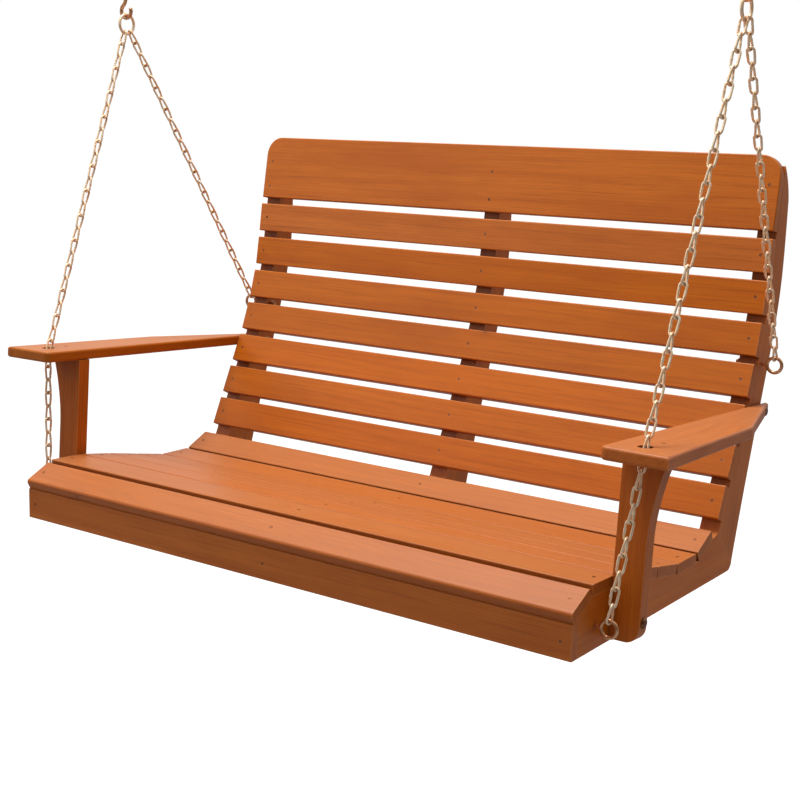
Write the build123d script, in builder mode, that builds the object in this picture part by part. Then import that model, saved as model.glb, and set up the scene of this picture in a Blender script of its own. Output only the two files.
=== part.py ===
from build123d import *
import os
from math import atan2, cos, degrees, pi, radians, sin

# Porch swing in millimetres. +X is to the right of someone standing in front of it, +Y is to the
# back and +Z is up. The origin is the middle of the line on which the swing turns, the line
# through the bowls of the two ceiling hooks. The bench hangs below it, leaning back a little.

# ---- the whole swing ----
bench_width = 1244.6      # length of the slats, 49 in
half_width = bench_width / 2
bench_lean = 3.0          # degrees that the bench leans back as it hangs
apex_back = 340.6         # the joining rings, measured back from the apron's face
apex_height = 996.0       # and up from the underside of the seat rails
apex_side = 689.0         # and out from the middle of the bench
board = 19.0              # thickness of apron and slats
frame_thick = 38.0        # thickness of rails, uprights and posts
ease = 2.5                # round-over on the long edges of the boards

# ---- seat: widths and slopes of the slats, front to back ----
edge_slat = 63.5
first_slope = 26.5
first_start = (-5.8, 77.7)
seat_pitch = 80.0
seat_gap = 2.4
seat_slopes = [-1.5, -8.3, -10.4, -10.0, 0.4]
seat_start = (60.5, 110.0)
last_slope = 26.2
nose_radius = 6.5

# ---- back: slats from the bottom up ----
back_start = (541.4, 113.9)
back_slat = 63.5
back_pitch = 78.0
back_leans = [24.0, 24.5, 24.5, 20.5, 15.0, 8.0, 7.0]
top_lean = 8.7
top_board_width = 139.7
top_corner = 40.0
upright_top = 748.0

# ---- apron, rails ----
apron_height = 59.4
rail_back_corner = (604.0, 18.0)
toe = 9.0                 # the foot of each upright, resting on the tail of its rail

# ---- arms and posts ----
arm_thick = 22.0
arm_front_height = 334.0
arm_fall = 2.24           # degrees that the arms fall towards the back
arm_round = 5.0
arm_front = 54.0
arm_outer_front = (739.0, 50.0)
arm_shoulder = (718.0, 430.0)
arm_tail = (632.0, 724.0)
hole_radius = 12.5
hole_place = (676.0, 102.0)
post_front = 120.0
post_lean = 3.4
post_width = 53.0
post_depth = 27.0
post_foot = 6.0           # the post stops this far above the underside of the rail
post_flare = 30.0
post_flare_from = 170.0

# ---- chain and fittings ----
chain_wire = 4.8
link_width = 16.4
slack = 0.12              # clearance between link and link, so that they stay separate
eye_wire = 6.4
eye_radius = 14.0
eye_stand = 25.0
front_eye = (72.5, 40.0)
rear_eye = (698.0, 382.5)
ring_wire = 6.0
ring_radius = 20.0
hook_wire = 8.0
hook_radius = 14.0
hook_shank = 92.0
hook_thread = 50.0
running_gap = 0.3

support_places = [-(half_width - frame_thick / 2), 0.0, half_width - frame_thick / 2]
support_names = ["left", "centre", "right"]
sides = {"left": -1, "right": 1}

# ---- the bench's own directions, leaning back ----
lean = radians(bench_lean)
back_dir = Vector(0, cos(lean), -sin(lean))
up_dir = Vector(0, sin(lean), cos(lean))
side_dir = Vector(1, 0, 0)
ring_centre_drop = ring_radius - ring_wire / 2 - hook_wire / 2 - running_gap
bench_origin = Vector(0, 0, -ring_centre_drop) - back_dir * apex_back - up_dir * apex_height


def bench_point(x, y, z):
    """A point given by its place on the bench: across, back from the apron, up from the rails."""
    return bench_origin + side_dir * x + back_dir * y + up_dir * z


def side_plane(x):
    """The plane of a side view of the bench, at x. Its axes run back and up."""
    return Plane(origin=bench_point(x, 0, 0), x_dir=back_dir, z_dir=side_dir)


def top_plane(z):
    """A plane that lies level with the seat rails, at height z. Its axes run right and back."""
    return Plane(origin=bench_point(0, 0, z), x_dir=side_dir, z_dir=up_dir)


def step(point, length, angle):
    """The point that lies length away, at an angle above the direction that runs back."""
    return (point[0] + length * cos(radians(angle)), point[1] + length * sin(radians(angle)))


def offset_point(point, depth, angle):
    """The point that lies depth below a face that climbs at angle."""
    return (point[0] + depth * sin(radians(angle)), point[1] - depth * cos(radians(angle)))


def save(part, name):
    part.label = name
    export_step(part, f"parts/{name}.step")


os.makedirs("parts", exist_ok=True)

# ---- where each slat lies: the front or lower edge of its face, its width and its angle ----
seat_slats = [(first_start, edge_slat, first_slope)]
place = seat_start
for slope in seat_slopes:
    seat_slats.append((place, seat_pitch - seat_gap, slope))
    place = step(place, seat_pitch, slope)
seat_slats.append((step(place, seat_gap, last_slope), edge_slat, last_slope))

back_slats = []
place = back_start
for leaning in back_leans:
    back_slats.append((place, back_slat, 90 - leaning))
    place = step(place, back_pitch, 90 - leaning)
top_board_place = (place, top_board_width, 90 - top_lean)


def on_slat(slat, along, depth):
    """A point of a slat's section, along its face and at a depth below it."""
    start, width, angle = slat
    return offset_point(step(start, along, angle), depth, angle)


def slat_plane(x, slat, along):
    """A plane on a slat's face, its normal pointing out of the face."""
    y, z = on_slat(slat, along, 0)
    angle = radians(slat[2])
    normal = up_dir * cos(angle) - back_dir * sin(angle)
    return Plane(origin=bench_point(x, y, z), x_dir=side_dir, z_dir=normal)


# ---- screws: a sunk head and a plain shank, head outwards ----
def wood_screws(planes, length, head_radius=3.4, shank_radius=1.8, sink=0.6):
    with BuildPart() as screws:
        for plane in planes:
            with BuildSketch(plane.offset(-sink)):
                Circle(head_radius)
            extrude(amount=-2.4)
            with BuildSketch(plane.offset(-sink - 2.4)):
                Circle(shank_radius)
            extrude(amount=-(length - 2.4))
    return screws


def sinkings(planes, head_radius=3.4, sink=0.6, rise=0.0):
    """The shallow holes above the sunk heads."""
    with BuildPart() as holes:
        for plane in planes:
            with BuildSketch(plane.offset(rise)):
                Circle(head_radius)
            extrude(amount=-(sink + rise))
    return holes


seat_screw_planes = [slat_plane(x, s, s[1] / 2) for s in seat_slats for x in support_places]
back_screw_planes = [slat_plane(x, s, s[1] / 2) for s in back_slats for x in support_places]
for along in (26.0, 84.0):
    back_screw_planes += [slat_plane(x, top_board_place, along) for x in support_places]
apron_slat = ((0.0, 0.0), apron_height, 90.0)
apron_screw_planes = [slat_plane(x, apron_slat, 30.0) for x in support_places]

seat_screws = wood_screws(seat_screw_planes, 36.0)
back_screws = wood_screws(back_screw_planes, 36.0)
apron_screws = wood_screws(apron_screw_planes, 42.0)
seat_sinkings = sinkings(seat_screw_planes)
back_sinkings = sinkings(back_screw_planes)
apron_sinkings = sinkings(apron_screw_planes)


# ---- boards that run the whole width ----
def long_board(slat, thick, front_radius, back_radius):
    """A board the width of the bench, with its outer face rounded along both long edges."""
    width = slat[1]
    with BuildPart() as piece:
        with BuildSketch(side_plane(0)) as section:
            with BuildLine():
                Polyline(
                    on_slat(slat, 0, 0),
                    on_slat(slat, width, 0),
                    on_slat(slat, width, thick),
                    on_slat(slat, 0, thick),
                    close=True,
                )
            make_face()
            corners = section.vertices()
            front = corners.sort_by_distance(Vector(*on_slat(slat, 0, 0)))[0]
            fillet(front, front_radius)
            corners = section.vertices()
            back = corners.sort_by_distance(Vector(*on_slat(slat, width, 0)))[0]
            fillet(back, back_radius)
        extrude(amount=half_width, both=True)
    return piece


for number, slat in enumerate(seat_slats, start=1):
    front_radius = nose_radius if number == 1 else ease
    slat_piece = long_board(slat, board, front_radius, ease)
    with slat_piece:
        add(seat_screws.part, mode=Mode.SUBTRACT)
        add(seat_sinkings.part, mode=Mode.SUBTRACT)
    save(slat_piece.part, f"seat_slat_{number}")

for number, slat in enumerate(back_slats, start=1):
    slat_piece = long_board(slat, board, ease, ease)
    with slat_piece:
        add(back_screws.part, mode=Mode.SUBTRACT)
        add(back_sinkings.part, mode=Mode.SUBTRACT)
    save(slat_piece.part, f"back_slat_{number}")

with BuildPart() as apron:
    with BuildSketch(side_plane(0)) as section:
        with BuildLine():
            under_y, under_z = on_slat(seat_slats[0], 0, board)
            front_run = -under_y / cos(radians(first_slope))
            rear_run = (board - under_y) / cos(radians(first_slope))
            Polyline(
                (0, 0),
                (board, 0),
                on_slat(seat_slats[0], rear_run, board),
                on_slat(seat_slats[0], front_run, board),
                close=True,
            )
        make_face()
        fillet(section.vertices().sort_by_distance(Vector(0, 0))[0], ease)
    extrude(amount=half_width, both=True)
    add(apron_screws.part, mode=Mode.SUBTRACT)
    add(apron_sinkings.part, mode=Mode.SUBTRACT)
save(apron.part, "apron")

top_plane_on_face = slat_plane(0, top_board_place, top_board_width / 2)
with BuildPart() as top_board:
    with BuildSketch(top_plane_on_face) as outline:
        Rectangle(bench_width, top_board_width)
        fillet(outline.vertices().group_by(Axis.Y)[-1], top_corner)
    extrude(amount=-board)
    face_axis = Axis(top_plane_on_face.origin, top_plane_on_face.z_dir)
    fillet(top_board.faces().sort_by(face_axis)[-1].edges(), ease)
    fillet(top_board.faces().sort_by(face_axis)[0].edges(), ease / 2)
    add(back_screws.part, mode=Mode.SUBTRACT)
    add(back_sinkings.part, mode=Mode.SUBTRACT)
save(top_board.part, "top_board")


# ---- uprights and seat rails: one pair for each support, joined on a sloping seam ----
seam_top = on_slat(back_slats[0], -22.5, board)
tail_back, tail_height = rail_back_corner[0] + rail_back_corner[1], rail_back_corner[1]
seam_bottom = (tail_back - toe, tail_height)
seam_angle = degrees(atan2(seam_bottom[1] - seam_top[1], seam_bottom[0] - seam_top[0]))

joint_screw_places = [(631.0, 69.0), (635.0, 84.0)]
joint_normal = back_dir * -sin(radians(seam_angle)) + up_dir * cos(radians(seam_angle))
joint_planes = []
for x in support_places:
    for y, z in joint_screw_places:
        joint_planes.append(Plane(origin=bench_point(x, y, z), x_dir=side_dir, z_dir=joint_normal))
joint_screws = wood_screws(joint_planes, 56.0, head_radius=4.2, shank_radius=2.2)
joint_sinkings = sinkings(joint_planes, head_radius=4.2, rise=20.0)


def upright(x):
    with BuildPart() as piece:
        with BuildSketch(side_plane(x)):
            with BuildLine():
                front = [seam_bottom, seam_top]
                for slat in back_slats:
                    front.append(on_slat(slat, 0, board))
                    front.append(on_slat(slat, slat[1], board))
                top_start = on_slat(top_board_place, 0, board)
                front.append(top_start)
                rise = (upright_top - top_start[1]) / sin(radians(top_board_place[2]))
                front.append(on_slat(top_board_place, rise, board))
                Polyline(*front)
                ThreePointArc(front[-1], (762.0, 716.0), (771.0, 684.0))
                Spline(
                    (771.0, 684.0), (771.5, 600.0), (766.0, 515.0), (746.0, 425.0),
                    (700.0, 280.0), (656.0, 138.0), (tail_back, tail_height),
                )
                Line((tail_back, tail_height), seam_bottom)
            make_face()
        extrude(amount=frame_thick / 2, both=True)
    return piece


def rail(x):
    with BuildPart() as piece:
        with BuildSketch(side_plane(x)):
            with BuildLine():
                corner_y, radius = rail_back_corner
                mid = (corner_y + radius * sin(pi / 4), radius - radius * cos(pi / 4))
                ThreePointArc((corner_y, 0), mid, (tail_back, tail_height))
                top = [(tail_back, tail_height), seam_bottom, seam_top]
                for slat in reversed(seat_slats):
                    top.append(on_slat(slat, slat[1], board))
                    top.append(on_slat(slat, 0, board))
                top.pop()
                start = on_slat(seat_slats[0], 0, board)
                run = (board - start[0]) / cos(radians(first_slope))
                top.append(on_slat(seat_slats[0], run, board))
                Polyline(*top, (board, 0), (corner_y, 0))
            make_face()
        extrude(amount=frame_thick / 2, both=True)
    return piece


# ---- fittings through the side frames: eye bolts, carriage bolts, their washers and nuts ----
inner_face = half_width - frame_thick
eye_places = {"front": front_eye, "rear": rear_eye}
post_bolt_place = (136.0, 39.0)
arm_bolt_place = (682.0, 296.4)
arm_bolt_seat = 641.5
bolt_radius = 4.0
washer_thick = 1.6
nut_thick = 6.0


def along_x(y, z, x_from, x_to, radius):
    """A round bar across the bench, added to the part being built."""
    with BuildSketch(side_plane(x_from)) as section:
        with Locations((y, z)):
            Circle(radius)
    extrude(section.sketch, amount=x_to - x_from)


def eye_bolt(y, z):
    with BuildPart() as bolt:
        end = inner_face - washer_thick - nut_thick - 4.0
        along_x(y, z, end, half_width + eye_stand - eye_radius, eye_wire / 2)
        centre = bench_point(half_width + eye_stand, y, z)
        with Locations(Plane(origin=centre, x_dir=side_dir, z_dir=back_dir)):
            Torus(eye_radius, eye_wire / 2)
    return bolt


def carriage_bolt(y, z, x_head):
    with BuildPart() as bolt:
        end = inner_face - washer_thick - nut_thick - 4.0
        along_x(y, z, end, x_head, bolt_radius)
        along_x(y, z, x_head, x_head + 4.4, 9.0)
        rim = bolt.edges().filter_by(GeomType.CIRCLE).sort_by(Axis.X)[-1]
        fillet(rim, 4.0)
    return bolt


def washer_and_nut(y, z, radius):
    with BuildPart() as washer:
        with BuildSketch(side_plane(inner_face - washer_thick)):
            with Locations((y, z)):
                Circle(radius * 2.7)
                Circle(radius, mode=Mode.SUBTRACT)
        extrude(amount=washer_thick)
    with BuildPart() as nut:
        with BuildSketch(side_plane(inner_face - washer_thick - nut_thick)):
            with Locations((y, z)):
                RegularPolygon(radius * 1.95, 6)
                Circle(radius, mode=Mode.SUBTRACT)
        extrude(amount=nut_thick)
    return washer, nut


post_bolt = carriage_bolt(*post_bolt_place, half_width + post_width)
arm_bolt = carriage_bolt(*arm_bolt_place, arm_bolt_seat)
front_bolt = eye_bolt(*front_eye)
rear_bolt = eye_bolt(*rear_eye)


def mirrored(part):
    return mirror(part, about=Plane.YZ)


def pair(part, name):
    """A piece of the right side and its mirror image on the left."""
    save(mirrored(part), f"{name}_left")
    save(part, f"{name}_right")


pair(front_bolt.part, "front_eye_bolt")
pair(rear_bolt.part, "rear_eye_bolt")
pair(post_bolt.part, "post_bolt")
pair(arm_bolt.part, "arm_bolt")

washers, nuts = [], []
for place, radius in [
    (front_eye, eye_wire / 2),
    (rear_eye, eye_wire / 2),
    (post_bolt_place, bolt_radius),
    (arm_bolt_place, bolt_radius),
]:
    washer, nut = washer_and_nut(*place, radius)
    washers += [washer.part, mirrored(washer.part)]
    nuts += [nut.part, mirrored(nut.part)]

for name, pieces in (("washers", washers), ("nuts", nuts)):
    with BuildPart() as group:
        for piece in pieces:
            add(piece)
    save(group.part, name)

# ---- rails and uprights, drilled for their screws and bolts ----
for x, name in zip(support_places, support_names):
    rail_piece = rail(x)
    with rail_piece:
        for screws in (seat_screws, apron_screws, joint_screws):
            add(screws.part, mode=Mode.SUBTRACT)
        if name != "centre":
            for bolt in (front_bolt, post_bolt):
                drill = bolt.part if name == "right" else mirrored(bolt.part)
                add(drill, mode=Mode.SUBTRACT)
    save(rail_piece.part, f"seat_rail_{name}")

    upright_piece = upright(x)
    with upright_piece:
        for screws in (back_screws, joint_screws, joint_sinkings):
            add(screws.part, mode=Mode.SUBTRACT)
        if name != "centre":
            for bolt in (rear_bolt, arm_bolt):
                drill = bolt.part if name == "right" else mirrored(bolt.part)
                add(drill, mode=Mode.SUBTRACT)
    save(upright_piece.part, f"upright_{name}")

# ---- arms: rounded boards that fall a little to the back, outside the side frames ----
fall = radians(arm_fall)
arm_along = back_dir * cos(fall) - up_dir * sin(fall)
arm_up = up_dir * cos(fall) + back_dir * sin(fall)
arm_plane = Plane(origin=bench_point(0, 0, arm_front_height), x_dir=side_dir, z_dir=arm_up)
arm_screw_place = (682.0, 154.0)
arm_screw_origin = arm_plane.origin + side_dir * arm_screw_place[0] + arm_along * arm_screw_place[1]
arm_screw_plane = Plane(origin=arm_screw_origin, x_dir=side_dir, z_dir=arm_up)
arm_screw = wood_screws([arm_screw_plane], 62.0, head_radius=4.2, shank_radius=2.2)
arm_sinking = sinkings([arm_screw_plane], head_radius=4.2)

with BuildPart() as arm:
    with BuildSketch(arm_plane) as outline:
        with BuildLine():
            Polyline(
                (half_width, arm_front),
                arm_outer_front,
                arm_shoulder,
                arm_tail,
                (half_width, arm_tail[1] + 5.0),
                close=True,
            )
        make_face()
        corners = outline.vertices()
        fillet(corners.sort_by_distance(Vector(half_width, arm_front))[0], 12.0)
        fillet(corners.sort_by_distance(Vector(*arm_outer_front))[0], 16.0)
        fillet(corners.sort_by_distance(Vector(*arm_shoulder))[0], 110.0)
        fillet(corners.sort_by_distance(Vector(*arm_tail))[0], 11.0)
    extrude(amount=-arm_thick)
    faces = arm.faces().sort_by(Axis(arm_plane.origin, arm_up))
    fillet(faces[0].edges() + faces[-1].edges(), arm_round)
    with BuildSketch(arm_plane):
        with Locations(hole_place):
            Circle(hole_radius)
    extrude(amount=-arm_thick, mode=Mode.SUBTRACT)
    add(arm_screw.part, mode=Mode.SUBTRACT)
    add(arm_sinking.part, mode=Mode.SUBTRACT)
    add(arm_bolt.part, mode=Mode.SUBTRACT)
    with BuildSketch(side_plane(arm_bolt_seat)):
        with Locations(arm_bolt_place):
            Circle(9.2)
    extrude(amount=30.0, mode=Mode.SUBTRACT)
pair(arm.part, "arm")

# ---- posts under the arms, flared at the top like a corbel ----
tilt = radians(post_lean)
post_back = back_dir * cos(tilt) - up_dir * sin(tilt)
post_plane = Plane(origin=bench_point(0, post_front, 0), x_dir=side_dir, z_dir=-post_back)
arm_underside = arm_plane.offset(-arm_thick)
outer = half_width + post_width

with BuildPart() as post:
    with BuildSketch(post_plane) as outline:
        with BuildLine():
            foot = (outer, post_foot)
            Polyline((outer, post_flare_from), foot, (half_width, post_foot), (half_width, 330.0))
            Line((half_width, 330.0), (outer + post_flare + 6.0, 330.0))
            Spline(
                (outer + post_flare + 6.0, 330.0), (outer + 7.0, 238.0), (outer, post_flare_from),
                tangents=((-0.45, -0.9), (0, -1)),
            )
        make_face()
        fillet(outline.vertices().sort_by_distance(Vector(*foot))[0], 24.0)
    extrude(amount=-post_depth)
    split(bisect_by=arm_underside, keep=Keep.BOTTOM)
    add(arm_screw.part, mode=Mode.SUBTRACT)
    add(post_bolt.part, mode=Mode.SUBTRACT)
pair(post.part, "arm_post")


# ---- chains: real links, each turned a quarter from the one before ----
def link(inside):
    """One straight link, its long way along Z and its loop in the XZ plane."""
    bend = (link_width - chain_wire) / 2
    half_straight = (inside + chain_wire) / 2 - bend
    with BuildPart() as piece:
        for side in (-1, 1):
            with BuildSketch(Plane.XY):
                with Locations((side * bend, 0)):
                    Circle(chain_wire / 2)
            extrude(amount=half_straight, both=True)
        for end in (-1, 1):
            with BuildSketch(Plane.XY.offset(end * half_straight)):
                with Locations((bend, 0)):
                    Circle(chain_wire / 2)
            turn = Axis((0, 0, end * half_straight), (0, -end, 0))
            revolve(axis=turn, revolution_arc=180)
    return piece


def chain_places(start, end, count):
    """Planes for the links of a taut run, from contact point to contact point."""
    run = end - start
    direction = run.normalized()
    flat = side_dir.cross(direction).normalized()
    across = direction.cross(flat).normalized()
    planes = []
    for i in range(count):
        width_dir = flat if i % 2 == 0 else across
        centre = start + run * ((i + 0.5) / count)
        planes.append(Plane(origin=centre, x_dir=width_dir, z_dir=direction))
    return planes


def eye_contact(place, towards):
    """Where the first link bears on the inside of an eye bolt's ring."""
    crown = bench_point(half_width + eye_stand, *place) + up_dir * eye_radius
    return crown - (towards - crown).normalized() * (eye_wire / 2)


ring_centre = Vector(apex_side, 0, -ring_centre_drop)
hole_mid = arm_plane.origin + side_dir * hole_place[0] + arm_along * hole_place[1] - arm_up * (arm_thick / 2)


def ring_contact(coming_from):
    """Where the last link bears on the inside of the joining ring."""
    line = ring_centre - coming_from
    in_ring_plane = Vector(0, line.Y, line.Z).normalized()
    return ring_centre - in_ring_plane * (ring_radius - ring_wire / 2)


front_start = eye_contact(front_eye, hole_mid)
front_end = ring_contact(hole_mid)
rear_start = eye_contact(rear_eye, ring_centre)
rear_end = ring_contact(rear_start)
below = (hole_mid - front_start).normalized()
above = (front_end - hole_mid).normalized()
hole_leave = hole_mid + (below - above) * (chain_wire / 2)
chain_runs = {
    "front_chain_lower": (front_start, hole_mid, 10),
    "front_chain_upper": (hole_leave, front_end, 26),
    "rear_chain": (rear_start, rear_end, 26),
}
for name, (start, end, count) in chain_runs.items():
    one_link = link((end - start).length / count + slack).part
    with BuildPart() as chain:
        for plane in chain_places(start, end, count):
            add(one_link.moved(plane.location))
    pair(chain.part, name)

# ---- joining rings, and the hooks that screw into the ceiling beam ----
with BuildPart() as joining_ring:
    with Locations(Plane(origin=ring_centre, x_dir=(0, 1, 0), z_dir=side_dir)):
        Torus(ring_radius, ring_wire / 2)
pair(joining_ring.part, "joining_ring")

hook_view = Plane(origin=(apex_side, 0, 0), x_dir=(1, 0, 0), z_dir=(0, -1, 0))
neck = 42.0
neck_bend = ((neck - hook_radius) ** 2 - hook_radius**2) / (2 * hook_radius)
neck_angle = degrees(atan2(neck - hook_radius, neck_bend))


def across_shank(height):
    return Plane(origin=hook_view.from_local_coords((0, height)), z_dir=(0, 0, 1))


with BuildPart() as ceiling_hook:
    with BuildLine(hook_view):
        bend = CenterArc((neck_bend, neck), neck_bend, 180, neck_angle)
        bowl = CenterArc((0, hook_radius), hook_radius, neck_angle, -195 - neck_angle)
    with BuildSketch(across_shank(neck)):
        Circle(hook_wire / 2)
    sweep()
    with Locations(Plane(origin=bowl @ 1)):
        Sphere(hook_wire / 2)
    with BuildSketch(across_shank(neck)):
        Circle(hook_wire / 2)
    extrude(amount=hook_thread)
    with BuildSketch(across_shank(neck + hook_thread)):
        Circle(hook_wire / 2)
    extrude(amount=7.0, taper=26)
pair(ceiling_hook.part, "ceiling_hook")

with BuildPart() as arm_screws:
    add(arm_screw.part)
    add(mirrored(arm_screw.part))

save(seat_screws.part, "seat_slat_screws")
save(back_screws.part, "back_slat_screws")
save(apron_screws.part, "apron_screws")
save(joint_screws.part, "frame_joint_screws")
save(arm_screws.part, "arm_screws")
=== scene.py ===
import bpy
import bmesh
import math
import random
from mathutils import Matrix, Vector


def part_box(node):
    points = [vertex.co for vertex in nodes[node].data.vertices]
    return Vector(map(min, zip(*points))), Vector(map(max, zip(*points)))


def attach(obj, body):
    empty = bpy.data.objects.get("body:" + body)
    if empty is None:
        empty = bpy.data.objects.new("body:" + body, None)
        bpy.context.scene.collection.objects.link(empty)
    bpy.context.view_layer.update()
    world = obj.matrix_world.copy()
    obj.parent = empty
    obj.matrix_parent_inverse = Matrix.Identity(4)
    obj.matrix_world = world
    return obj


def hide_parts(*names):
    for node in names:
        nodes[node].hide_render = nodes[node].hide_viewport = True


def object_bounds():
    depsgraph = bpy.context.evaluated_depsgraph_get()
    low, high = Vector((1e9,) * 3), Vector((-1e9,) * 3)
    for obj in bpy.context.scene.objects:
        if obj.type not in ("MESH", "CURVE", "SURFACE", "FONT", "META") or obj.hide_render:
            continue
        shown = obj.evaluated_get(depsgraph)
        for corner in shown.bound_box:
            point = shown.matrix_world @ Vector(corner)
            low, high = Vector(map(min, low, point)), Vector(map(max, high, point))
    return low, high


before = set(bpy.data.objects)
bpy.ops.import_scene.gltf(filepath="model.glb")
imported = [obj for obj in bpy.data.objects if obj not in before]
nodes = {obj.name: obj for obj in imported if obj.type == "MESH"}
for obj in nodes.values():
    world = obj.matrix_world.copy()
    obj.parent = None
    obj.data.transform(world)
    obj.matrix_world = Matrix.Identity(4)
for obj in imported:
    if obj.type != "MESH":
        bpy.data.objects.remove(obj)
cad_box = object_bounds()

LEAN = math.radians(3.0)                 # the bench leans back this much as it hangs
UP = Vector((0, math.sin(LEAN), math.cos(LEAN)))
BACK = Vector((0, math.cos(LEAN), -math.sin(LEAN)))
RIGHT = Vector((1, 0, 0))


# ---------------------------------------------------------------- node helpers
class Nodes:
    """A node tree, with short calls for the nodes used here."""

    def __init__(self, tree):
        self.tree = tree

    def add(self, kind, inputs=(), **settings):
        node = self.tree.nodes.new("ShaderNode" + kind)
        for key, value in settings.items():
            setattr(node, key, value)
        for key, value in dict(inputs).items():
            self.feed(node.inputs[key], value)
        return node

    def feed(self, socket, value):
        if isinstance(value, bpy.types.NodeSocket):
            self.tree.links.new(value, socket)
        else:
            socket.default_value = value

    def math(self, operation, a, b=0.0, c=0.0):
        node = self.add("Math", {0: a, 1: b, 2: c}, operation=operation)
        return node.outputs[0]

    def noise(self, vector, scale, detail=2.0, roughness=0.5):
        node = self.add("TexNoise", {
            "Vector": vector, "Scale": scale, "Detail": detail, "Roughness": roughness,
        })
        return node.outputs["Fac"]

    def span(self, value, low, high, to_low=0.0, to_high=1.0):
        node = self.add("MapRange", {
            "Value": value, "From Min": low, "From Max": high,
            "To Min": to_low, "To Max": to_high,
        })
        return node.outputs["Result"]

    def mix(self, factor, a, b):
        node = self.add("Mix", data_type="RGBA")
        self.feed(node.inputs[0], factor)
        self.feed(node.inputs[6], a)
        self.feed(node.inputs[7], b)
        return node.outputs[2]

    def place(self, vector, location=(0, 0, 0), rotation=(0, 0, 0), scale=(1, 1, 1)):
        node = self.add("Mapping", {
            "Vector": vector, "Location": location, "Rotation": rotation, "Scale": scale,
        })
        return node.outputs[0]

    def edges(self, radius):
        """Near 1 on the sharp or eased edges, 0 on the flats."""
        bevel = self.add("Bevel", {"Radius": radius}, samples=6)
        normal = self.add("NewGeometry").outputs["Normal"]
        dot = self.add("VectorMath", {0: bevel.outputs[0], 1: normal}, operation="DOT_PRODUCT")
        return self.span(dot.outputs["Value"], 0.995, 0.86)


class Shader(Nodes):
    """A material and its node tree."""

    def __init__(self, name):
        self.material = bpy.data.materials.new(name)
        self.material.use_nodes = True
        super().__init__(self.material.node_tree)
        self.bsdf = self.tree.nodes["Principled BSDF"]


def rgb(red, green, blue):
    """An sRGB colour, 0 to 255, as the linear colour that shaders take."""
    def linear(c):
        c /= 255
        return c / 12.92 if c <= 0.04045 else ((c + 0.055) / 1.055) ** 2.4
    return (linear(red), linear(green), linear(blue), 1.0)


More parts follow.
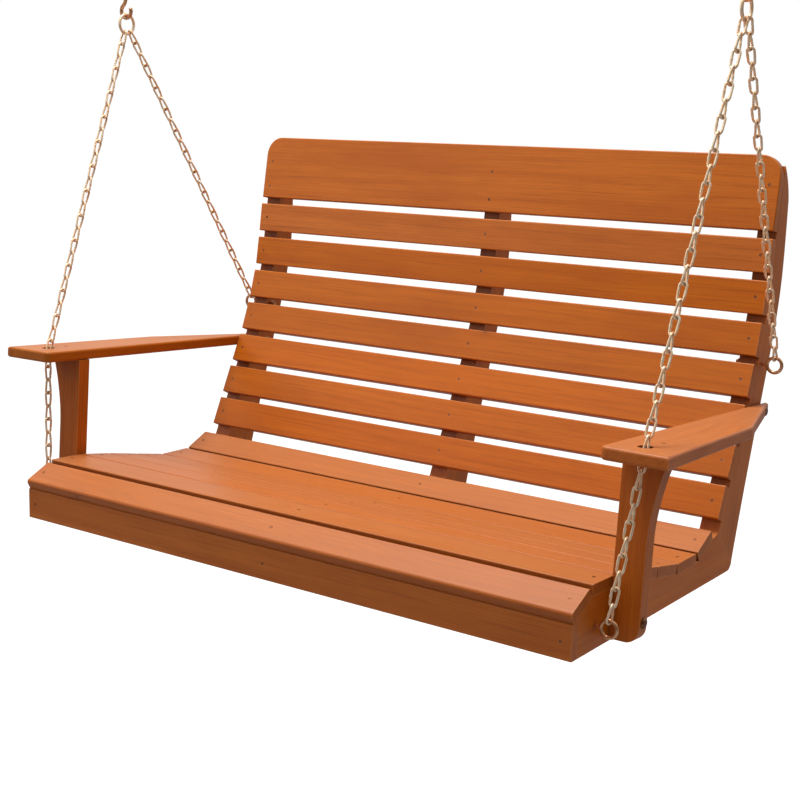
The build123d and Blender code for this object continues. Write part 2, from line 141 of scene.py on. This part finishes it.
# ---------------------------------------------------------------- stained wood
def wood(name, centre, along, tone, seed):
    """Sawn softwood under an orange-brown stain, its grain running along a direction."""
    rand = random.Random(seed)
    s = Shader(name)
    turn = along.normalized().rotation_difference(RIGHT)
    middle = turn @ centre
    pith_angle = rand.uniform(-0.7, 0.7) - math.pi / 2
    pith_far = rand.uniform(0.10, 0.22)
    pith_along = rand.uniform(-9, 9)
    pith = Vector((pith_along, math.cos(pith_angle) * pith_far, math.sin(pith_angle) * pith_far))
    coords = s.add("TexCoord").outputs["Object"]
    straight = s.place(coords, rotation=turn.to_euler(), location=-middle)
    tilt = (0, rand.uniform(-0.018, 0.018), rand.uniform(-0.03, 0.03))
    log = s.place(straight, rotation=tilt, location=-pith)

    # The log bends slowly, so the rings make long arches on the faces.
    slow = s.place(log, scale=(1.3, 5.0, 5.0))
    bend = s.add("TexNoise", {"Vector": slow, "Scale": 1.0, "Detail": 2.0, "Roughness": 0.45})
    centred = s.add("VectorMath", {0: bend.outputs["Color"], 1: (0.5, 0.5, 0.5)},
                    operation="SUBTRACT")
    sway = s.add("VectorMath", {0: centred.outputs[0], 3: 0.05}, operation="SCALE")

    # A few knots: the rings swell around each one.
    shift = (rand.uniform(0, 9), rand.uniform(0, 9), rand.uniform(0, 9))
    cell = s.place(straight, location=shift, scale=(6.5, 9.0, 7.0))
    knots = s.add("TexVoronoi", {"Vector": cell, "Scale": 1.0, "Randomness": 0.9}, feature="F1")
    pick = s.add("SeparateColor", {"Color": knots.outputs["Color"]}).outputs[0]
    chosen = s.span(pick, 0.80, 0.82)
    knot_near = s.span(knots.outputs["Distance"], 0.26, 0.02)
    knot_soft = s.math("MULTIPLY", s.math("POWER", knot_near, 2.0), chosen)
    knot_core = s.math("MULTIPLY", s.span(knots.outputs["Distance"], 0.055, 0.030), chosen)

    bent = s.add("VectorMath", {0: log, 1: sway.outputs[0]}, operation="ADD")
    flat = s.add("VectorMath", {0: bent.outputs[0], 1: (0.0, 1.0, 1.0)}, operation="MULTIPLY")
    reach = s.add("VectorMath", {0: flat.outputs[0]}, operation="LENGTH").outputs["Value"]
    swell = s.math("MULTIPLY_ADD", knot_soft, 0.010, reach)
    spread = rand.uniform(0.0026, 0.0040)
    rings = s.math("FRACT", s.math("DIVIDE", swell, spread))
    rise = s.span(rings, 0.15, 0.88)
    fall = s.span(rings, 1.0, 0.90)
    late = s.math("MULTIPLY", s.math("POWER", rise, 2.2), fall)

    # Fibres, pores and the streaks that the stain leaves.
    long_fibre = s.noise(s.place(straight, scale=(5, 330, 330)), 1.0, 6.0, 0.62)
    fine_fibre = s.noise(s.place(straight, scale=(26, 1500, 1500)), 1.0, 3.0, 0.6)
    streak = s.noise(s.place(straight, scale=(1.6, 62, 62), location=(seed, 0, 0)), 1.0, 3.0, 0.55)
    patch = s.noise(s.place(straight, scale=(3.0, 9, 9), location=(0, seed, 0)), 1.0, 3.0, 0.6)

    body = s.mix(s.span(streak, 0.30, 0.70), rgb(184, 90, 28), rgb(198, 103, 36))
    body = s.mix(s.math("MULTIPLY", late, 0.24), body, rgb(150, 66, 18))
    body = s.mix(s.span(long_fibre, 0.50, 0.30, 0.0, 0.50), body, rgb(136, 57, 15))
    body = s.mix(s.span(fine_fibre, 0.50, 0.72, 0.0, 0.26), body, rgb(214, 128, 58))
    body = s.mix(s.span(patch, 0.46, 0.74, 0.0, 0.50), body, rgb(160, 75, 22))
    body = s.mix(s.math("MULTIPLY", knot_soft, 0.35), body, rgb(140, 62, 18))
    body = s.mix(s.math("MULTIPLY", knot_core, 0.8), body, rgb(92, 38, 12))
    shade = s.add("HueSaturation", {
        "Hue": 0.5045 + rand.uniform(-0.002, 0.002),
        "Saturation": 1.03 + rand.uniform(-0.03, 0.03),
        "Value": tone * (1.03 + rand.uniform(-0.07, 0.06)),
        "Color": body,
    }).outputs[0]

    # Faces that look up are painted paler: a painted sheen of the light from above.
    facing = s.add("SeparateXYZ", {"Vector": s.add("TexCoord").outputs["Normal"]}).outputs["Z"]
    painted_top_sheen = s.math("MULTIPLY", s.span(facing, 0.72, 0.96), s.span(patch, 0.25, 0.75, 0.24, 0.38))
    shade = s.mix(painted_top_sheen, shade, rgb(206, 138, 90))

    # Rubbed edges are paler; the seams and corners between boards are darkened by painted shade.
    rub_noise = s.noise(s.place(straight, scale=(9, 40, 40)), 1.0, 4.0, 0.6)
    rub = s.math("MULTIPLY", s.edges(0.004), s.span(rub_noise, 0.35, 0.62, 0.25, 1.0))
    worn = s.mix(s.math("MULTIPLY", rub, 0.36), shade, rgb(228, 156, 92))
    corner = s.add("AmbientOcclusion", {"Distance": 0.035}, samples=6)
    painted_seam_shade = s.span(corner.outputs["AO"], 0.75, 0.25, 0.0, 0.55)
    s.feed(s.bsdf.inputs["Base Color"], s.mix(painted_seam_shade, worn, rgb(70, 30, 14)))

    gloss = s.math("MULTIPLY_ADD", late, -0.08, s.span(patch, 0.3, 0.7, 0.44, 0.58))
    s.feed(s.bsdf.inputs["Roughness"], s.math("MULTIPLY_ADD", rub, 0.12, gloss))
    s.bsdf.inputs["Specular IOR Level"].default_value = 0.24
    s.bsdf.inputs["Coat Weight"].default_value = 0.24
    s.bsdf.inputs["Coat Roughness"].default_value = 0.36

    height = s.math("MULTIPLY_ADD", long_fibre, 0.7, s.math("MULTIPLY", late, 0.25))
    height = s.math("MULTIPLY_ADD", fine_fibre, 0.35, height)
    bump = s.add("Bump", {"Height": height, "Strength": 0.32, "Distance": 0.0006})
    s.feed(s.bsdf.inputs["Normal"], bump.outputs[0])
    return s.material


# ---------------------------------------------------------------- metals
def steel(name, bright, dull, tarnish_and_shade, rough, scratch=0.35, metallic=1.0):
    """Plated steel: clouded, speckled with tarnish, given painted shade where parts meet, and rubbed
    on its edges.
    """
    s = Shader(name)
    coords = s.add("TexCoord").outputs["Object"]
    cloud = s.noise(coords, 90.0, 4.0, 0.6)
    speck = s.noise(coords, 900.0, 3.0, 0.65)
    colour = s.mix(s.span(cloud, 0.35, 0.65), bright, dull)
    colour = s.mix(s.span(speck, 0.56, 0.74, 0.0, 0.6), colour, tarnish_and_shade)
    # Painted shade: the tarnish colour laid where parts meet and hide each other from the light.
    painted_contact_shade = s.add("AmbientOcclusion", {"Distance": 0.007}, samples=6)
    colour = s.mix(s.span(painted_contact_shade.outputs["AO"], 0.75, 0.25, 0.0, 0.7), colour, tarnish_and_shade)
    rub = s.edges(0.0008)
    colour = s.mix(s.math("MULTIPLY", rub, scratch), colour, bright)
    s.feed(s.bsdf.inputs["Base Color"], colour)
    s.bsdf.inputs["Metallic"].default_value = metallic
    s.feed(s.bsdf.inputs["Roughness"], s.span(cloud, 0.3, 0.7, rough - 0.06, rough + 0.12))
    bump = s.add("Bump", {"Height": speck, "Strength": 0.25, "Distance": 0.0002})
    s.feed(s.bsdf.inputs["Normal"], bump.outputs[0])
    return s.material


chain_steel = steel("chain_plating", rgb(255, 240, 212), rgb(255, 208, 158), rgb(176, 92, 46),
                    0.26, metallic=0.3)
bolt_steel = steel("bolt_plating", rgb(150, 104, 72), rgb(104, 64, 42), rgb(46, 26, 16), 0.34)
fitting_steel = steel("fitting_plating", rgb(240, 196, 154), rgb(206, 148, 106),
                      rgb(104, 54, 28), 0.34)
screw_steel = steel("screw_coating", rgb(172, 104, 62), rgb(128, 72, 40), rgb(78, 40, 22),
                    0.5, scratch=0.15, metallic=0.5)


def put_on(obj, material):
    for slot in obj.material_slots:
        slot.material = material
    if not obj.material_slots:
        obj.data.materials.append(material)


def middle_of(node):
    low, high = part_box(node)
    return (Vector(low) + Vector(high)) / 2


# Which way the grain runs in each board, and how light the board is.
UPRIGHT_RUN = (UP * 0.74 + BACK * 0.155).normalized()
ARM_RUN = (BACK - UP * 0.039).normalized()
POST_RUN = (UP + BACK * 0.06).normalized()
grain_runs = (
    ("apron", RIGHT, 1.06), ("seat_slat", RIGHT, 0.92), ("back_slat", RIGHT, 1.03),
    ("top_board", RIGHT, 1.01), ("seat_rail", BACK, 1.14), ("upright", UPRIGHT_RUN, 1.08),
    ("arm_post", POST_RUN, 0.95), ("arm_left", ARM_RUN, 0.90), ("arm_right", ARM_RUN, 0.94),
)


def finish_of(node):
    if node.endswith("screws"):
        return screw_steel
    if "chain" in node or "ring" in node:
        return chain_steel
    if node.startswith(("post_bolt", "arm_bolt")):
        return bolt_steel
    for number, (start, along, tone) in enumerate(grain_runs):
        if node.startswith(start):
            seed = 17 * number + sum(map(ord, node))
            return wood("wood_" + node, middle_of(node), along, tone, seed)
    return fitting_steel


for node in sorted(nodes):
    put_on(nodes[node], finish_of(node))


# ---------------------------------------------------------------- meshes swept from curves
def to_object(name, bm, material, node, body="swing"):
    """A finished piece that stands for a CAD node and moves with a body."""
    mesh = bpy.data.meshes.new(name)
    bm.normal_update()
    bm.to_mesh(mesh)
    bm.free()
    for face in mesh.polygons:
        face.use_smooth = True
    mesh.materials.append(material)
    piece = bpy.data.objects.new(name, mesh)
    bpy.context.scene.collection.objects.link(piece)
    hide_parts(node)
    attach(piece, body)


def circle(centre, one, two, radius, around):
    """Points round a centre, in the plane of two directions."""
    turns = [2 * math.pi * i / around for i in range(around)]
    return [centre + one * (radius * math.cos(a)) + two * (radius * math.sin(a)) for a in turns]


def skin(bm, rings, closed):
    """Faces between rings of vertices, joined end to start or capped."""
    loops = [[bm.verts.new(p) for p in ring] for ring in rings]
    pairs = list(zip(loops, loops[1:]))
    if closed:
        pairs.append((loops[-1], loops[0]))
    around = len(loops[0])
    for one, two in pairs:
        for i in range(around):
            j = (i + 1) % around
            bm.faces.new((one[i], one[j], two[j], two[i]))
    if not closed:
        bm.faces.new(reversed(loops[0]))
        bm.faces.new(loops[-1])


# ---------------------------------------------------------------- chains
RING_DROP = 0.0127                       # ring centre below the hook's bowl
RING_CONTACT = 0.017                     # from the ring's centre to the last link's crown
APEX = (0.3406, 0.996, 0.689)            # joining ring: back, up and out, from the apron's foot
HALF_WIDTH = 0.6223                      # of the bench across the outer rails
BENCH = Vector((0, 0, -RING_DROP)) - BACK * APEX[0] - UP * APEX[1]
LINK_WIDTH = 0.0164
LINK_WIRE = 0.0043
LINK_PLAY = 0.00012                      # a link is this much longer inside than its share
LINK_TWIST = math.radians(15)            # of each end against the middle
CAD_WIRE = 0.0048
BEND_STEPS, STRAIGHT_STEPS, WIRE_STEPS = 10, 8, 12
WELD_SPREAD, WELD_SWELL = 0.0019, 0.20
EYE_RADIUS, EYE_WIRE, EYE_STAND = 0.014, 0.0064, 0.025
ARM_FALL = math.radians(2.24)
ARM_LEVEL, ARM_HOLE_OUT, ARM_HOLE_BACK, ARM_MID = 0.334, 0.676, 0.102, 0.011


def bench_point(x, back, up):
    return BENCH + RIGHT * x + BACK * back + UP * up


def link_rings(inside):
    """A welded link, its loop wrung a little about its long axis."""
    bend = (LINK_WIDTH - LINK_WIRE) / 2
    half = (inside + LINK_WIRE) / 2 - bend
    reach = half + bend
    path = []
    for end in (1, -1):
        for k in range(BEND_STEPS + 1):
            turn = math.pi * k / BEND_STEPS
            nx, ny = end * math.cos(turn), end * math.sin(turn)
            path.append((bend * nx, end * half + bend * ny, nx, ny, 0))
        for k in range(1, STRAIGHT_STEPS):
            y = end * (half - 2 * half * k / STRAIGHT_STEPS)
            weld = math.exp(-(y / WELD_SPREAD) ** 2) if end == 1 else 0
            path.append((-end * bend, y, -end, 0.0, weld))
    rings = []
    for x, y, nx, ny, weld in path:
        radius = LINK_WIRE / 2 * (1 + WELD_SWELL * weld)
        section = circle(Vector((x, y, 0)), Vector((nx, ny, 0)), Vector((0, 0, 1)), radius, WIRE_STEPS)
        rings.append([Matrix.Rotation(LINK_TWIST * p.y / reach, 3, "Y") @ p for p in section])
    return rings


def chain(node, start, end, count, side, seed):
    """A taut run of links, each turned a quarter from the last; side -1 mirrors it to the left."""
    run = end - start
    along = run.normalized()
    flat = RIGHT.cross(along).normalized()
    across = along.cross(flat).normalized()
    rings = link_rings(run.length / count + LINK_PLAY)
    rand = random.Random(seed)
    bm = bmesh.new()
    for i in range(count):
        wide = flat if i % 2 == 0 else across
        wide = Matrix.Rotation(math.radians(rand.uniform(-4, 4)), 3, along) @ wide
        centre = start + run * ((i + 0.5) / count)
        deep = wide.cross(along)
        place = [[centre + wide * p.x + along * p.y + deep * p.z for p in ring] for ring in rings]
        if side < 0:
            place = [[Vector((-p.x, p.y, p.z)) for p in reversed(ring)] for ring in place]
        skin(bm, place, closed=True)
    to_object("links_" + node, bm, chain_steel, node)


ring_centre = Vector((APEX[2], 0, -RING_DROP))
arm_up = UP * math.cos(ARM_FALL) + BACK * math.sin(ARM_FALL)
arm_along = BACK * math.cos(ARM_FALL) - UP * math.sin(ARM_FALL)
hole = (bench_point(0, 0, ARM_LEVEL) + RIGHT * ARM_HOLE_OUT
        + arm_along * ARM_HOLE_BACK - arm_up * ARM_MID)


def on_eye(back, up, towards):
    """Where the first link bears on an eye bolt's eye."""
    crown = bench_point(HALF_WIDTH + EYE_STAND, back, up) + UP * EYE_RADIUS
    return crown - (towards - crown).normalized() * (EYE_WIRE / 2)


def on_ring(coming_from):
    """Where the last link bears on the joining ring."""
    line = ring_centre - coming_from
    return ring_centre - Vector((0, line.y, line.z)).normalized() * RING_CONTACT


front_low = on_eye(0.0725, 0.040, hole)
front_top = on_ring(hole)
rear_low = on_eye(0.698, 0.3825, ring_centre)
below = (hole - front_low).normalized()
above = (front_top - hole).normalized()
runs = (
    ("front_chain_lower", front_low, hole, 10),
    ("front_chain_upper", hole + (below - above) * CAD_WIRE / 2, front_top, 26),
    ("rear_chain", rear_low, on_ring(rear_low), 26),
)
for number, (name, start, end, count) in enumerate(runs):
    for side, hand in ((-1, "left"), (1, "right")):
        chain(f"{name}_{hand}", start, end, count, side, 40 + 2 * number + side)


# ---------------------------------------------------------------- ceiling hooks
HOOK_WIRE, HOOK_BOWL, HOOK_NECK, HOOK_THREAD = 0.008, 0.014, 0.042, 0.050
HOOK_POINT = 0.0068                      # the screw point beyond the thread
HOOK_OPENING = math.radians(-195)        # where the rounded tip is, round the bowl
TIP_STEPS, BOWL_STEPS, NECK_STEPS, THREAD_STEPS, HOOK_AROUND = 5, 44, 10, 190, 20
THREAD_PITCH, THREAD_DEPTH, THREAD_SHARPNESS = 0.0030, 0.0009, 1.6
THREAD_FROM, THREAD_FADE = 0.004, 0.003  # plain shank first, then the thread deepens
POINT_TAPER, POINT_BLUNT = 0.0075, 0.08
THROUGH = Vector((0, 1, 0))


def hook_rings(side):
    """From the rounded tip round the bowl and up the neck to the cut thread and its point."""
    radius = HOOK_WIRE / 2
    bend = ((HOOK_NECK - HOOK_BOWL) ** 2 - HOOK_BOWL ** 2) / (2 * HOOK_BOWL)
    lift = math.atan2(HOOK_NECK - HOOK_BOWL, bend)
    sections = []
    for k in range(TIP_STEPS):
        back = math.cos(math.pi / 2 * k / TIP_STEPS)
        sections.append((HOOK_OPENING, back * radius * 0.98, math.sqrt(1 - back * back * 0.96)))
    for k in range(BOWL_STEPS + 1):
        sections.append((HOOK_OPENING + (lift - HOOK_OPENING) * k / BOWL_STEPS, 0.0, 1.0))
    rings = []
    for angle, behind, swell in sections:
        out = Vector((math.cos(angle), 0, math.sin(angle)))
        ahead = Vector((-math.sin(angle), 0, math.cos(angle)))
        centre = Vector((0, 0, HOOK_BOWL)) + out * HOOK_BOWL - ahead * behind
        rings.append(circle(centre, out, THROUGH, radius * swell, HOOK_AROUND))
    for k in range(1, NECK_STEPS + 1):
        angle = math.pi + lift * (1 - k / NECK_STEPS)
        out = Vector((-math.cos(angle), 0, -math.sin(angle)))
        centre = Vector((bend, 0, HOOK_NECK)) - out * bend
        rings.append(circle(centre, out, THROUGH, radius, HOOK_AROUND))
    length = HOOK_THREAD + HOOK_POINT
    for k in range(1, THREAD_STEPS + 1):
        up = length * k / THREAD_STEPS
        point = min(1.0, max(POINT_BLUNT, (length - up) / POINT_TAPER))
        starting = min(1.0, max(0.0, (up - THREAD_FROM) / THREAD_FADE))
        ring = []
        for i in range(HOOK_AROUND):
            a = 2 * math.pi * i / HOOK_AROUND
            phase = (up / THREAD_PITCH - a / (2 * math.pi)) % 1.0
            groove = max(0.0, 1 - abs(2 * phase - 1) * THREAD_SHARPNESS)
            r = (radius - THREAD_DEPTH * starting * groove) * point
            ring.append(Vector((r * math.cos(a), r * math.sin(a), HOOK_NECK + up)))
        rings.append(ring)
    return [[Vector((side * (p.x + APEX[2]), p.y, p.z)) for p in ring] for ring in rings]


for side, hand in ((-1, "left"), (1, "right")):
    bm = bmesh.new()
    skin(bm, hook_rings(side), closed=False)
    bmesh.ops.recalc_face_normals(bm, faces=bm.faces)
    to_object("hook_" + hand, bm, fitting_steel, "ceiling_hook_" + hand,
              body="ceiling_hooks")


# ---------------------------------------------------------------- camera, floor and light
camera_data = bpy.data.cameras.new("camera")
camera = bpy.data.objects.new("camera", camera_data)
bpy.context.scene.collection.objects.link(camera)
camera.location = (1.58271, -2.18048, -0.10369)
camera.rotation_euler = [math.radians(a) for a in (76.791, 0.063, 35.595)]
camera_data.sensor_width = 36.0
camera_data.lens = 63.635
camera_data.clip_end = 100.0
bpy.context.scene.camera = camera

FLOOR_HALF, FLOOR_BELOW = 14.0, 0.9      # half its side, and how far it lies below the bench
bm = bmesh.new()
bmesh.ops.create_grid(bm, x_segments=8, y_segments=8, size=FLOOR_HALF)
floor_mesh = bpy.data.meshes.new("floor")
bm.to_mesh(floor_mesh)
bm.free()
floor = bpy.data.objects.new("floor", floor_mesh)
floor.location = (0, 0, cad_box[0][2] - FLOOR_BELOW)
bpy.context.scene.collection.objects.link(floor)
pale = Shader("floor_pale")
floor_spot = pale.noise(pale.add("TexCoord").outputs["Object"], 3.0, 3.0)
pale.feed(pale.bsdf.inputs["Base Color"],
          pale.mix(pale.span(floor_spot, 0.3, 0.7), (0.38, 0.38, 0.38, 1), (0.41, 0.41, 0.41, 1)))
pale.bsdf.inputs["Roughness"].default_value = 0.9
pale.bsdf.inputs["Specular IOR Level"].default_value = 0.1
pale.bsdf.inputs["Emission Color"].default_value = (1, 1, 1, 1)
pale.feed(pale.bsdf.inputs["Emission Strength"],
          pale.math("MULTIPLY", pale.add("LightPath").outputs["Is Camera Ray"], 0.80))
floor_mesh.materials.append(pale.material)


def area_light(name, place, towards, size, power, colour):
    data = bpy.data.lights.new(name, "AREA")
    data.shape = "DISK"
    data.size = size
    data.energy = power
    data.color = colour
    light = bpy.data.objects.new(name, data)
    light.location = place
    light.rotation_euler = (Vector(towards) - Vector(place)).to_track_quat("-Z", "Y").to_euler()
    bpy.context.scene.collection.objects.link(light)


bench_middle = (0, -0.1, -0.75)
area_light("overhead", (-0.5, -0.3, 2.4), bench_middle, 2.0, 105, (1.0, 0.98, 0.95))
area_light("front_left", (-2.8, -3.0, 0.9), bench_middle, 2.0, 17, (1.0, 0.93, 0.84))
area_light("rim", (2.6, 2.6, 1.4), bench_middle, 1.8, 12, (1.0, 0.98, 0.95))

# The sky is brighter up and to the back left; the camera itself sees plain white.
SKY_TOWARDS = (-0.35, 0.45, 0.80)
SKY_DIM, SKY_BRIGHT = 0.10, 0.80
world = bpy.data.worlds.new("studio")
world.use_nodes = True
bpy.context.scene.world = world
sky = Nodes(world.node_tree)
soft = sky.tree.nodes["Background"]
soft.inputs["Color"].default_value = (1.0, 0.99, 0.98, 1)
heading = sky.add("TexCoord").outputs["Generated"]
facing = sky.add("VectorMath", {0: heading, 1: SKY_TOWARDS}, operation="DOT_PRODUCT")
sky.feed(soft.inputs["Strength"],
         sky.span(facing.outputs["Value"], -0.25, 0.85, SKY_DIM, SKY_BRIGHT))
backdrop = sky.add("Background", {"Color": (1, 1, 1, 1), "Strength": 1.0})
choose = sky.add("MixShader", {
    0: sky.add("LightPath").outputs["Is Camera Ray"],
    1: soft.outputs[0], 2: backdrop.outputs[0],
})
sky.feed(sky.tree.nodes["World Output"].inputs["Surface"], choose.outputs[0])
bpy.context.scene.view_settings.view_transform = "Standard"
